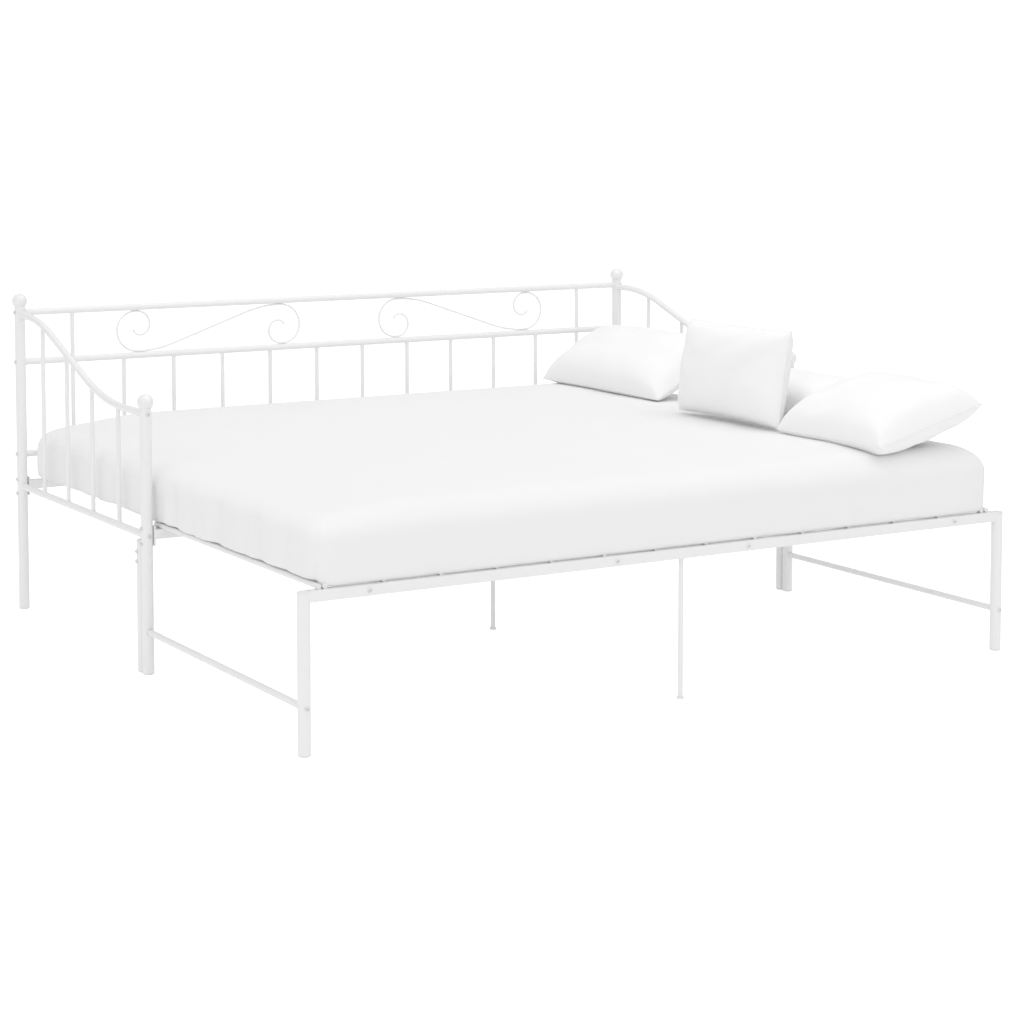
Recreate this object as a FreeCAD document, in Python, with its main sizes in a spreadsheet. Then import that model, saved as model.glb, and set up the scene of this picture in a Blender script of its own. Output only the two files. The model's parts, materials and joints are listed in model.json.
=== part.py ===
import FreeCAD, Part

import math
import os

import Sketcher
from FreeCAD import Placement, Rotation, Vector

# Metal daybed with a pull-out front half, shown pulled out to its double width.
# X runs along the bed, +Y towards the backrest, +Z up.  The origin is on the floor, in the
# middle of the bed's plan.  The pull-out half slides along +Y into the daybed.

# ---------------------------------------------------------------- sizes, in millimetres
SIZES = [
    ("post_spacing", 2040, "left posts to right posts, between centres"),
    ("daybed_depth", 930, "front posts to back posts, between centres"),
    ("pull_out_reach", 904, "front posts to pull-out front legs, between centres"),
    ("back_height", 910, "floor to the top of a back finial"),
    ("front_height", 719, "floor to the top of a front finial"),
    ("post_diameter", 30, "posts and pull-out legs"),
    ("post_wall", 1.5, ""),
    ("cap_height", 5, "plastic end cap outside its tube"),
    ("cap_round", 4, "rounded rim of an end cap"),
    ("plug_depth", 18, "end cap inside its tube"),
    ("finial_plug_depth", 8, "finial inside its post, above the highest bolt"),
    ("plug_clearance", 0.15, "between a plug and the bore it sits in"),
    ("finial_diameter", 42, "ball on top of a post"),
    ("finial_rise", 37, "post top to ball top"),
    ("collar_height", 3, "ring under the ball"),
    ("rail_diameter", 19, "round rails and end arms"),
    ("rail_wall", 1.2, ""),
    ("top_rail_drop", 53, "back finial's top to the centre of the backrest's top rail"),
    ("upper_band", 142, "backrest's top rail to its middle rail, between centres"),
    ("low_rail_rise", 77, "slat rails' top to the centre of the backrest's bottom rail"),
    ("spindle_diameter", 12, "upright bars"),
    ("spindle_wall", 1, ""),
    ("backrest_spindles", 12, "number between two back posts"),
    ("end_spindles", 4, "number in an end panel"),
    ("scroll_wire", 6, "diameter of the bent wire"),
    ("scroll_gap", 134, "scroll to the upper spindle beside it, and to the bed's middle"),
    ("scroll_outer_bend", 62, "first quarter of the large loop"),
    ("scroll_flat", 8, "stretch that lies along the rail"),
    ("scroll_inner_bend", 39, "third quarter of the curl"),
    ("scroll_curl_bend", 31, "fourth quarter of the curl"),
    ("scroll_tip_bend", 20, "free tip of the curl"),
    ("scroll_tip_turn", 75, "degrees of the free tip"),
    ("scroll_sway_share", 0.247, "part of the way out that the bend before the loop takes"),
    ("arm_top_drop", 60, "back finial's top to the centre of the end arm"),
    ("arm_low_drop", 50, "front finial's top to the centre of the end arm"),
    ("arm_lead", 53, "level start of the arm, from the back post's centre"),
    ("arm_tail", 136, "level end of the arm, to the front post's centre"),
    ("arm_bend_share", 0.3285, "part of the way between them that the two bends take"),
    ("arm_upper_share", 0.406, "part of that which the upper bend takes"),
    ("end_rail_drop", 16, "slat rails' top to the centre of an end panel's bottom rail"),
    ("deck_height", 373, "top of the daybed's slat rails"),
    ("beam_depth", 25, "square slat rails"),
    ("beam_wall", 1.5, ""),
    ("plate_thickness", 4, "end plate of a slat rail"),
    ("plate_height", 52, ""),
    ("plate_drop", 3.5, "middle of the rail to the middle of its end plate"),
    ("plate_bolt_spacing", 40, ""),
    ("slat_diameter", 12, ""),
    ("slat_wall", 1, ""),
    ("slat_end_wall", 1.5, "closed end of a slat"),
    ("slat_rest", 13, "how far a slat's end lies on its rail"),
    ("pull_out_slats", 14, "number of slats on the pull-out"),
    ("side_rail_inset", 23, "leg's inner side to the centre of a side rail"),
    ("side_rail_gap", 4, "side rail to the outermost slat"),
    ("deck_lift", 1, "running gap of slats and rails that pass each other"),
    ("slide_gap", 1.5, "front post to the pull-out rear leg behind it"),
    ("guide_clearance", 0.5, "stretcher in the front post's guide hole"),
    ("stretcher_diameter", 16, ""),
    ("stretcher_height", 111, "centre of a stretcher"),
    ("rear_bolt_margin", 8, "plug in the rear leg's top to the upper bolt of the rear rail"),
    ("rear_bolt_spacing", 25, ""),
    ("rear_plate_margin", 12, "lower bolt to the end of its plate"),
    ("rear_leg_gap", 3.5, "rear leg's top to the end panel's bottom rail"),
    ("slat_bar_thickness", 3, "flat bar under the pull-out slats' front ends"),
    ("slat_bar_height", 20, ""),
    ("bar_bolt_inner", 194, "middle of the bed to the inner slat bar bolts"),
    ("bar_bolt_inset", 144, "leg's inner side to the outer slat bar bolts"),
    ("centre_leg_diameter", 12, ""),
    ("centre_leg_foot", 18, "diameter of its foot and top flange"),
    ("centre_leg_flange", 3, "thickness"),
    ("bolt_diameter", 6, ""),
    ("bolt_hole_clearance", 0.3, "all round"),
    ("thread_clearance", 0.1, "all round"),
    ("bolt_head_diameter", 11.5, ""),
    ("bolt_head_height", 4, ""),
    ("socket_width", 4, "across the corners of the hexagon"),
    ("socket_rim", 0.4, "flat ring round the socket"),
    ("socket_depth", 2, ""),
    ("bolt_tip", 3, "thread that stands past its nut or plate"),
    ("insert_length", 16, "threaded plug in a tube's end"),
    ("insert_setback", 6, "post's surface to the threaded plug"),
    ("mattress_side_gap", 5, "post's inner side to mattress"),
    ("mattress_front_inset", 3.5, "front rail's face to mattress"),
    ("mattress_thickness", 175, ""),
    ("mattress_round", 30, ""),
    ("mattress_gap", 0.5, "slats to mattress, and mattress to pillows"),
    ("mattress_inset", 3, "back posts to mattress"),
    ("pillow_gap", 10, "one row of pillows to the next"),
    ("pillow_back_margin", 28, "mattress's back to the back pillow"),
    ("pillow_front_margin", 3, "mattress's front to the front pillow"),
    ("pillow_round", 40, ""),
    ("hole_overcut", 1, "how far a drill runs past the tube"),
]

# length along the bed's depth, width, thickness, tilt in degrees (right side up), and the
# middle's distance from the mattress's right end
PILLOW_SIZES = ["length", "width", "thickness", "tilt", "inset"]
PILLOWS = {
    "pillow_back": (650, 295, 95, 28.5, 158),
    "pillow_upright": (470, 264, 120, 81, 292),
    "pillow_flat": (470, 250, 115, 6, 131),
    "pillow_front": (435, 354, 105, 15, 212),
}
for pillow_name, values in PILLOWS.items():
    for size_name, value in zip(PILLOW_SIZES, values):
        SIZES.append((f"{pillow_name}_{size_name}", value, ""))

doc = FreeCAD.newDocument("Daybed")
sheet = doc.addObject("Spreadsheet::Sheet", "sizes")
for row, (alias, value, note) in enumerate(SIZES, start=1):
    sheet.set(f"A{row}", str(value))
    sheet.setAlias(f"A{row}", alias)
    sheet.set(f"B{row}", note)
doc.recompute()

UPRIGHT = Rotation()
ALONG_X = Rotation(Vector(0, 1, 0), 90)
ALONG_Y = Rotation(Vector(1, 0, 0), -90)
TOWARDS_LEFT = Rotation(Vector(0, 1, 0), -90)
TOWARDS_FRONT = Rotation(Vector(1, 0, 0), 90)
UPSIDE_DOWN = Rotation(Vector(1, 0, 0), 180)
LEFT = "-1"
RIGHT = "1"
SIDES = [("left", LEFT), ("right", RIGHT)]

# ---------------------------------------------------------------- places worked out from the sizes
POST_R = "(sizes.post_diameter / 2)"
RAIL_R = "(sizes.rail_diameter / 2)"
BOLT_R = "(sizes.bolt_diameter / 2)"
SLAT_R = "(sizes.slat_diameter / 2)"
BEAM = "sizes.beam_depth"
BOLT_HOLE_R = f"({BOLT_R} + sizes.bolt_hole_clearance)"
THREAD_R = f"({BOLT_R} + sizes.thread_clearance)"
SIDE_X = "(sizes.post_spacing / 2)"
INNER_X = f"({SIDE_X} - {POST_R})"
FRONT_PROUD = f"({POST_R} + sizes.bolt_head_height)"
BACK_PROUD = "(sizes.finial_diameter / 2)"
FULL_DEPTH = "(sizes.daybed_depth + sizes.pull_out_reach)"
BACK_Y = f"(({FULL_DEPTH} + {FRONT_PROUD} - {BACK_PROUD}) / 2)"
FRONT_Y = f"({BACK_Y} - sizes.daybed_depth)"
LEG_Y = f"({FRONT_Y} - sizes.pull_out_reach)"
REAR_LEG_Y = f"({FRONT_Y} + sizes.post_diameter + sizes.slide_gap)"
BEAM_MIDDLE = f"(sizes.deck_height - {BEAM} / 2)"
PLATE_MIDDLE = f"({BEAM_MIDDLE} - sizes.plate_drop)"
PLATE_BOLTS = [f"({PLATE_MIDDLE} {sign} sizes.plate_bolt_spacing / 2)" for sign in "+-"]
TOP_RAIL = "(sizes.back_height - sizes.top_rail_drop)"
MID_RAIL = f"({TOP_RAIL} - sizes.upper_band)"
LOW_RAIL = "(sizes.deck_height + sizes.low_rail_rise)"
END_RAIL = "(sizes.deck_height - sizes.end_rail_drop)"
ARM_TOP = "(sizes.back_height - sizes.arm_top_drop)"
ARM_LOW = "(sizes.front_height - sizes.arm_low_drop)"
REAR_LEG_TOP = f"({END_RAIL} - {RAIL_R} - sizes.rear_leg_gap)"
REAR_TUBE_TOP = f"({REAR_LEG_TOP} - sizes.cap_height)"
REAR_UPPER_BOLT = f"({REAR_TUBE_TOP} - sizes.plug_depth - sizes.rear_bolt_margin)"
REAR_LOWER_BOLT = f"({REAR_UPPER_BOLT} - sizes.rear_bolt_spacing)"
REAR_BOLTS = [REAR_LOWER_BOLT, REAR_UPPER_BOLT]
SPINDLE_STEP = "(sizes.post_spacing / (sizes.backrest_spindles + 1))"
UPPER_SPINDLE_X = f"({SIDE_X} - {SPINDLE_STEP})"
SIDE_RAIL_X = f"({INNER_X} - sizes.side_rail_inset)"
SLAT_EDGE = f"({SIDE_RAIL_X} - sizes.slat_diameter - sizes.side_rail_gap)"
PULL_OUT_DECK = "(sizes.deck_height + sizes.deck_lift)"
REAR_RAIL_TOP = "(sizes.deck_height - sizes.deck_lift)"
MATTRESS_BOTTOM = f"({PULL_OUT_DECK} + sizes.slat_diameter + sizes.mattress_gap)"
MATTRESS_TOP = f"({MATTRESS_BOTTOM} + sizes.mattress_thickness)"
MATTRESS_BACK = f"({BACK_Y} - {POST_R} - sizes.mattress_inset)"
MATTRESS_FRONT = f"({LEG_Y} - {BEAM} / 2 + sizes.mattress_front_inset)"
MATTRESS_RIGHT = f"({INNER_X} - sizes.mattress_side_gap)"
RAIL_HEIGHTS = [("top", TOP_RAIL), ("mid", MID_RAIL), ("low", LOW_RAIL)]

nodes = []


def number(expression):
    """Value in millimetres or degrees of an expression on the sheet."""
    return float(sheet.evalExpression(expression))


def node(item, label):
    """Keep an object as one of the bed's pieces, under its own name."""
    item.Label = label
    nodes.append(item)
    return item


# ---------------------------------------------------------------- building blocks
def place(item, x="0", y="0", z="0", turn=UPRIGHT):
    """Turn an object and bind its position to the sheet."""
    item.Placement = Placement(Vector(0, 0, 0), turn)
    item.setExpression("Placement.Base.x", x)
    item.setExpression("Placement.Base.y", y)
    item.setExpression("Placement.Base.z", z)
    return item


def cylinder(name, radius, length, x, y, z, turn=UPRIGHT):
    """Cylinder that starts at a point and runs the way it is turned."""
    item = doc.addObject("Part::Cylinder", name)
    item.setExpression("Radius", radius)
    item.setExpression("Height", length)
    return place(item, x, y, z, turn)


def box(name, length, width, height, x, y, z):
    """Box in the middle of x and y, standing on z."""
    item = doc.addObject("Part::Box", name)
    item.setExpression("Length", length)
    item.setExpression("Width", width)
    item.setExpression("Height", height)
    return place(item, f"{x} - {length} / 2", f"{y} - {width} / 2", z)


def group(name, items):
    """Separate solids under one name."""
    item = doc.addObject("Part::Compound", name)
    item.Links = items
    return item


def cut(name, base, tools):
    """Base without its tools."""
    item = doc.addObject("Part::Cut", name)
    item.Base = base
    item.Tool = tools[0] if len(tools) == 1 else group(f"{name}_tools", tools)
    return item


def fuse(name, items):
    """One solid of several that touch."""
    item = doc.addObject("Part::MultiFuse", name)
    item.Shapes = items
    return item


def tube(name, radius, wall, length, x, y, z, turn=UPRIGHT):
    """Round tube, with its solid outer form, which neighbours are shaped to."""
    outer = cylinder(f"{name}_outer", radius, length, x, y, z, turn)
    bore = cylinder(f"{name}_bore", f"{radius} - {wall}", length, x, y, z, turn)
    return cut(f"{name}_tube", outer, [bore]), outer


def drill(name, radius, x, y, z, turn):
    """Straight hole through a post, along X or Y."""
    start = f"{POST_R} + sizes.hole_overcut"
    length = f"2 * ({start})"
    if turn == ALONG_X:
        return cylinder(name, radius, length, f"{x} - ({start})", y, z, turn)
    return cylinder(name, radius, length, x, f"{y} - ({start})", z, turn)


def copy_to(name, source, x, y, z, turn=UPRIGHT):
    """Another piece of the same kind."""
    item = doc.addObject("App::Link", name)
    item.LinkedObject = source
    item.LinkTransform = False
    return place(item, x, y, z, turn)


def new_body(name):
    """Part design body."""
    return doc.addObject("PartDesign::Body", name)


def sketch_on(body, name, role):
    """Sketch on one of the body's own origin planes."""
    sketch = body.newObject("Sketcher::SketchObject", name)
    plane = next(item for item in body.Origin.OriginFeatures if item.Role == role)
    sketch.AttachmentSupport = [(plane, "")]
    sketch.MapMode = "FlatFace"
    return sketch


def bind(sketch, constraint, name, expression):
    """Add a named sketch dimension that follows the sheet."""
    index = sketch.addConstraint(constraint)
    sketch.renameConstraint(index, name)
    sketch.setExpression(f"Constraints.{name}", expression)


def rectangle(sketch, width, depth):
    """Rectangle about the sketch's origin."""
    half_width = number(width) / 2
    half_depth = number(depth) / 2
    corners = [(-1, -1), (1, -1), (1, 1), (-1, 1)]
    points = [Vector(sx * half_width, sy * half_depth, 0) for sx, sy in corners]
    for start in range(4):
        sketch.addGeometry(Part.LineSegment(points[start], points[(start + 1) % 4]))
    for line in range(4):
        sketch.addConstraint(Sketcher.Constraint("Coincident", line, 2, (line + 1) % 4, 1))
        direction = "Vertical" if line % 2 else "Horizontal"
        sketch.addConstraint(Sketcher.Constraint(direction, line))
    sketch.addConstraint(Sketcher.Constraint("Symmetric", 0, 1, 2, 1, -1, 1))
    bind(sketch, Sketcher.Constraint("DistanceX", 0, 1, 0, 2, 2 * half_width), "width", width)
    bind(sketch, Sketcher.Constraint("DistanceY", 1, 1, 1, 2, 2 * half_depth), "depth", depth)


def outline(sketch, corners, arcs):
    """Closed outline through corners; arcs maps a side's number to its radius and centre side."""
    points = [Vector(number(x), number(y), 0) for x, y in corners]
    count = len(points)
    for side in range(count):
        start, end = points[side], points[(side + 1) % count]
        if side in arcs:
            radius, bulge = number(arcs[side][0]), arcs[side][1]
            half = (end - start) * 0.5
            across = Vector(half.y, -half.x, 0).normalize() * bulge
            sagitta = radius - math.sqrt(max(radius**2 - half.Length**2, 0))
            middle = start + half + across * sagitta
            sketch.addGeometry(Part.Arc(start, middle, end))
        else:
            sketch.addGeometry(Part.LineSegment(start, end))
    # an arc's start and end change places when it runs clockwise
    ends = []
    for side in range(count):
        first = sketch.getPoint(side, 1)
        ends.append((1, 2) if (first - points[side]).Length < 1e-6 else (2, 1))
    for side in range(count):
        following = (side + 1) % count
        joint = Sketcher.Constraint("Coincident", side, ends[side][1], following, ends[following][0])
        sketch.addConstraint(joint)
    for side, (x, y) in enumerate(corners):
        corner = (side, ends[side][0])
        if x == "0":
            sketch.addConstraint(Sketcher.Constraint("PointOnObject", *corner, -2))
        else:
            width = Sketcher.Constraint("DistanceX", -1, 1, *corner, points[side].x)
            bind(sketch, width, f"x{side}", x)
        if y == "0":
            sketch.addConstraint(Sketcher.Constraint("PointOnObject", *corner, -1))
        else:
            height = Sketcher.Constraint("DistanceY", -1, 1, *corner, points[side].y)
            bind(sketch, height, f"y{side}", y)
    for side, (radius, _) in arcs.items():
        bind(sketch, Sketcher.Constraint("Radius", side, number(radius)), f"round{side}", radius)


def turned(name, corners, arcs):
    """Body turned about its own Z axis from a half outline."""
    body = new_body(name)
    sketch = sketch_on(body, f"{name}_outline", "XZ_Plane")
    outline(sketch, corners, arcs)
    feature = body.newObject("PartDesign::Revolution", f"{name}_turned")
    feature.Profile = sketch
    feature.ReferenceAxis = (sketch, ["V_Axis"])
    feature.Angle = 360
    return body


def cushion(name, width, depth, thickness, roundness):
    """Soft block with rounded edges, standing on its own XY plane."""
    body = new_body(name)
    sketch = sketch_on(body, f"{name}_plan", "XY_Plane")
    rectangle(sketch, width, depth)
    block = body.newObject("PartDesign::Pad", f"{name}_block")
    block.Profile = sketch
    block.setExpression("Length", thickness)
    doc.recompute()
    edges = body.newObject("PartDesign::Fillet", f"{name}_edges")
    edges.Base = (block, [f"Edge{index}" for index in range(1, 13)])
    edges.setExpression("Radius", roundness)
    return body


# ---------------------------------------------------------------- bent paths
class Path:
    """Line of straight runs and tangent bends, walked from one end in a flat plane."""

    def __init__(self, start, heading, normal):
        self.place = start
        self.heading = heading
        self.normal = normal
        self.edges = []

    def run(self, length):
        """Go straight on."""
        end = self.place + self.heading * length
        self.edges.append(Part.makeLine(self.place, end))
        self.place = end

    def bend(self, radius, degrees):
        """Turn by an angle, counted about the plane's normal."""
        side = math.copysign(1, degrees)
        centre = self.place + self.normal.cross(self.heading) * (radius * side)
        arm = self.place - centre
        middle = centre + Rotation(self.normal, degrees / 2).multVec(arm)
        end = centre + Rotation(self.normal, degrees).multVec(arm)
        self.edges.append(Part.Arc(self.place, middle, end).toShape())
        self.place = end
        self.heading = Rotation(self.normal, degrees).multVec(self.heading)


def swept(name, edges, radius, start, heading):
    """Round bar along a path."""
    spine = doc.addObject("Part::Feature", f"{name}_path")
    spine.Shape = Part.Wire(edges)
    section = doc.addObject("Part::Circle", f"{name}_section")
    section.setExpression("Radius", radius)
    section.Placement = Placement(start, Rotation(Vector(0, 0, 1), heading))
    bar = doc.addObject("Part::Sweep", f"{name}_bar")
    bar.Sections = [section]
    bar.Spine = (spine, [f"Edge{index}" for index in range(1, len(edges) + 1)])
    bar.Solid = True
    bar.Frenet = False
    return bar


# ---------------------------------------------------------------- parts that many places share
def make_end_cap():
    """Plastic cap with a plug, its rounded face down, at z = 0."""
    plug = f"({POST_R} - sizes.post_wall - sizes.plug_clearance)"
    plug_top = "(sizes.cap_height + sizes.plug_depth)"
    corners = [
        ("0", "0"),
        (f"({POST_R} - sizes.cap_round)", "0"),
        (POST_R, "sizes.cap_round"),
        (POST_R, "sizes.cap_height"),
        (plug, "sizes.cap_height"),
        (plug, plug_top),
        ("0", plug_top),
    ]
    return turned("end_cap", corners, {1: ("sizes.cap_round", 1)})


def make_bolt(name, shank):
    """Domed bolt with a hexagon socket, its seat at z = 0 and its head up."""
    head_r = "(sizes.bolt_head_diameter / 2)"
    rim_r = "(sizes.socket_width / 2 + sizes.socket_rim)"
    rise = "sizes.bolt_head_height"
    # the dome's centre lies on the axis, the same way from the seat's edge and the socket's rim
    centre = f"(({rim_r} ^ 2 + {rise} ^ 2 - {head_r} ^ 2) / (2 * {rise}))"
    dome = f"sqrt({head_r} ^ 2 + {centre} ^ 2)"
    corners = [
        ("0", f"(-{shank})"),
        (BOLT_R, f"(-{shank})"),
        (BOLT_R, "0"),
        (head_r, "0"),
        (rim_r, rise),
        ("0", rise),
    ]
    body = turned(f"{name}_blank", corners, {3: (dome, 1)})
    socket = doc.addObject("Part::Prism", f"{name}_socket")
    socket.Polygon = 6
    socket.setExpression("Circumradius", "sizes.socket_width / 2")
    socket.setExpression("Height", "sizes.socket_depth + sizes.hole_overcut")
    place(socket, z=f"{rise} - sizes.socket_depth")
    return cut(name, body, [socket])


def make_insert(name, bore):
    """Threaded plug inside a tube's end, from z = 0 up."""
    outer = f"({bore} - sizes.plug_clearance)"
    insert, _ = tube(name, outer, f"({outer} - {THREAD_R})", "sizes.insert_length", "0", "0", "0")
    return insert


RAIL_BORE = f"({RAIL_R} - sizes.rail_wall)"
STRETCHER_R = "(sizes.stretcher_diameter / 2)"
STRETCHER_BORE = f"({STRETCHER_R} - sizes.rail_wall)"
TUBE_SHANK = "(sizes.post_diameter + sizes.insert_setback + sizes.insert_length)"
PLATE_SHANK = "(sizes.post_diameter + sizes.plate_thickness + sizes.bolt_tip)"
BAR_SHANK = f"({BEAM} + sizes.slat_bar_thickness + sizes.bolt_tip)"
INSERT_REACH = f"({POST_R} + sizes.insert_setback)"

end_cap = make_end_cap()
tube_bolt = make_bolt("tube_bolt", TUBE_SHANK)
plate_bolt = make_bolt("plate_bolt", PLATE_SHANK)
bar_bolt = make_bolt("bar_bolt", BAR_SHANK)
rail_insert = make_insert("rail_insert", RAIL_BORE)
stretcher_insert = make_insert("stretcher_insert", STRETCHER_BORE)


# ---------------------------------------------------------------- posts, caps and finials
def make_post(name, side, y, top, across, lengthwise, guide=None):
    """Upright tube drilled for its bolts; returns its solid outer form."""
    x = f"{side} * {SIDE_X}"
    height = f"({top}) - sizes.cap_height"
    blank, outer = tube(name, POST_R, "sizes.post_wall", height, x, y, "sizes.cap_height")
    holes = []
    for index, z in enumerate(across):
        holes.append(drill(f"{name}_x_hole_{index}", BOLT_HOLE_R, x, y, z, ALONG_X))
    for index, z in enumerate(lengthwise):
        holes.append(drill(f"{name}_y_hole_{index}", BOLT_HOLE_R, x, y, z, ALONG_Y))
    if guide:
        holes.append(drill(f"{name}_guide", guide, x, y, "sizes.stretcher_height", ALONG_Y))
    node(cut(f"{name}_drilled", blank, holes), name)
    return outer


def make_finial(name, side, y, top):
    """Ball, collar and plug on top of a post."""
    x = f"{side} * {SIDE_X}"
    ball = doc.addObject("Part::Sphere", f"{name}_ball")
    ball.setExpression("Radius", "sizes.finial_diameter / 2")
    place(ball, x, y, f"{top} - sizes.finial_diameter / 2")
    seat = f"({top} - sizes.finial_rise)"
    plug_r = f"{POST_R} - sizes.post_wall - sizes.plug_clearance"
    collar = cylinder(f"{name}_collar", POST_R, "sizes.collar_height", x, y, seat)
    plug_length = "sizes.finial_plug_depth + sizes.collar_height"
    plug_low = f"{seat} - sizes.finial_plug_depth"
    plug = cylinder(f"{name}_plug", plug_r, plug_length, x, y, plug_low)
    node(fuse(f"{name}_whole", [ball, collar, plug]), name)


BACK_TOP = "(sizes.back_height - sizes.finial_rise)"
FRONT_TOP = "(sizes.front_height - sizes.finial_rise)"
GUIDE_R = f"({STRETCHER_R} + sizes.guide_clearance)"
back_outer = {}
front_outer = {}
for side_name, side in SIDES:
    rail_bolts = [height for _, height in RAIL_HEIGHTS]
    back_outer[side] = make_post(
        f"post_back_{side_name}", side, BACK_Y, BACK_TOP,
        rail_bolts + PLATE_BOLTS, [ARM_TOP, END_RAIL],
    )
    front_outer[side] = make_post(
        f"post_front_{side_name}", side, FRONT_Y, FRONT_TOP,
        PLATE_BOLTS, [ARM_LOW, END_RAIL], GUIDE_R,
    )
    make_finial(f"finial_back_{side_name}", side, BACK_Y, "sizes.back_height")
    make_finial(f"finial_front_{side_name}", side, FRONT_Y, "sizes.front_height")

caps = []
for side_name, side in SIDES:
    for row_name, y in (("back", BACK_Y), ("front", FRONT_Y)):
        name = f"post_cap_{row_name}_{side_name}"
        caps.append(copy_to(name, end_cap, f"{side} * {SIDE_X}", y, "0"))
node(group("post_caps", caps), "post_end_caps")


# ---------------------------------------------------------------- backrest
rail_outer = {}
for rail_name, height in RAIL_HEIGHTS:
    name = f"backrest_{rail_name}_rail"
    start = f"-{SIDE_X}"
    blank, outer = tube(
        name, RAIL_R, "sizes.rail_wall", "sizes.post_spacing", start, BACK_Y, height, ALONG_X
    )
    node(cut(f"{name}_fitted", blank, list(back_outer.values())), name)
    rail_outer[rail_name] = outer


def make_spindle(name, x, y, low, high, neighbours):
    """Upright bar between two heights, shaped to the bars it meets."""
    radius = "(sizes.spindle_diameter / 2)"
    blank, _ = tube(name, radius, "sizes.spindle_wall", f"({high}) - ({low})", x, y, low)
    return cut(f"{name}_fitted", blank, neighbours)


spindle_total = int(number("sizes.backrest_spindles"))
upper_spindles = []
for index in range(1, spindle_total + 1):
    x = f"{index} * {SPINDLE_STEP} - {SIDE_X}"
    name = f"backrest_spindle_{index:02d}"
    neighbours = [rail_outer["mid"], rail_outer["low"]]
    node(make_spindle(name, x, BACK_Y, LOW_RAIL, MID_RAIL, neighbours), name)
    if index in (1, spindle_total):
        neighbours = [rail_outer["top"], rail_outer["mid"]]
        name = f"upper_spindle_{index:02d}"
        upper_spindles.append(make_spindle(name, x, BACK_Y, MID_RAIL, TOP_RAIL, neighbours))
node(group("upper_spindles", upper_spindles), "backrest_upper_spindles")


def sloped(run, drop, share):
    """Slope, total bend radius and straight of a line that leaves level by bends.

    The bends' tangents take a share of the run; the straight loses the drop on the rest.
    """
    slope = math.atan2(drop, (1 - share) * run)
    radius = share * run / math.tan(slope / 2)
    straight = drop / math.sin(slope) - share * run
    return math.degrees(slope), radius, straight


def scroll_half(centre, mirror):
    """Edges of half a scroll, from its middle down and round into one curl."""
    reach = number("(sizes.upper_band - sizes.rail_diameter - sizes.scroll_wire) / 2")
    outer_bend = number("sizes.scroll_outer_bend")
    half_width = number(f"{UPPER_SPINDLE_X} / 2 - sizes.scroll_gap - sizes.scroll_wire / 2")
    run_out = half_width - outer_bend - number("sizes.scroll_flat")
    slope, sway, straight = sloped(run_out, reach, number("sizes.scroll_sway_share"))
    normal = Vector(0, 1, 0) * mirror
    down_and_out = Rotation(normal, -slope).multVec(Vector(-1, 0, 0) * mirror)
    path = Path(centre, down_and_out, normal)
    path.run(straight)
    path.bend(sway, slope)
    path.run(number("sizes.scroll_flat"))
    path.bend(outer_bend, 90)
    path.bend(2 * reach - outer_bend, 90)
    path.run(number("sizes.scroll_flat"))
    path.bend(number("sizes.scroll_inner_bend"), 90)
    path.bend(number("sizes.scroll_curl_bend"), 90)
    path.bend(number("sizes.scroll_tip_bend"), number("sizes.scroll_tip_turn"))
    return path


def make_scroll(name, side):
    """S of bent wire, the same when turned half a turn about its middle."""
    middle_z = number(f"({TOP_RAIL} + {MID_RAIL}) / 2")
    centre = Vector(number(f"{side} * {UPPER_SPINDLE_X} / 2"), number(BACK_Y), middle_z)
    path = scroll_half(centre, -int(side))
    first = list(reversed(path.edges))
    second = []
    for edge in path.edges:
        turned_edge = edge.copy()
        turned_edge.rotate(centre, Vector(0, 1, 0), 180)
        second.append(turned_edge)
    wire_r = "sizes.scroll_wire / 2"
    node(swept(name, first + second, wire_r, path.place, path.heading), name)


for side_name, side in SIDES:
    make_scroll(f"scroll_{side_name}", side)


# ---------------------------------------------------------------- end panels
def arm_path(side):
    """End arm's centre line, from the back post's centre to the front post's."""
    run = number("sizes.daybed_depth - sizes.arm_lead - sizes.arm_tail")
    drop = number(f"{ARM_TOP} - {ARM_LOW}")
    slope, bends, straight = sloped(run, drop, number("sizes.arm_bend_share"))
    upper = bends * number("sizes.arm_upper_share")
    start = Vector(number(f"{side} * {SIDE_X}"), number(BACK_Y), number(ARM_TOP))
    path = Path(start, Vector(0, -1, 0), Vector(1, 0, 0))
    path.run(number("sizes.arm_lead"))
    path.bend(upper, slope)
    path.run(straight)
    path.bend(bends - upper, -slope)
    path.run(number("sizes.arm_tail"))
    return path


def space_above_arms():
    """Block over both arms' centre lines, which the end spindles stop at."""
    path = arm_path(LEFT)
    start = Vector(path.edges[0].Vertexes[0].Point)
    high = number("2 * sizes.back_height")
    corners = [path.place, Vector(start.x, path.place.y, high), Vector(start.x, start.y, high), start]
    closing = [Part.makeLine(corners[i], corners[i + 1]) for i in range(3)]
    face = Part.Face(Part.Wire(path.edges + closing))
    margin = Vector(number(POST_R), 0, 0)
    face.translate(margin * -1)
    item = doc.addObject("Part::Feature", "space_above_arms")
    item.Shape = face.extrude(Vector(number("sizes.post_spacing"), 0, 0) + margin * 2)
    return item


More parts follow.
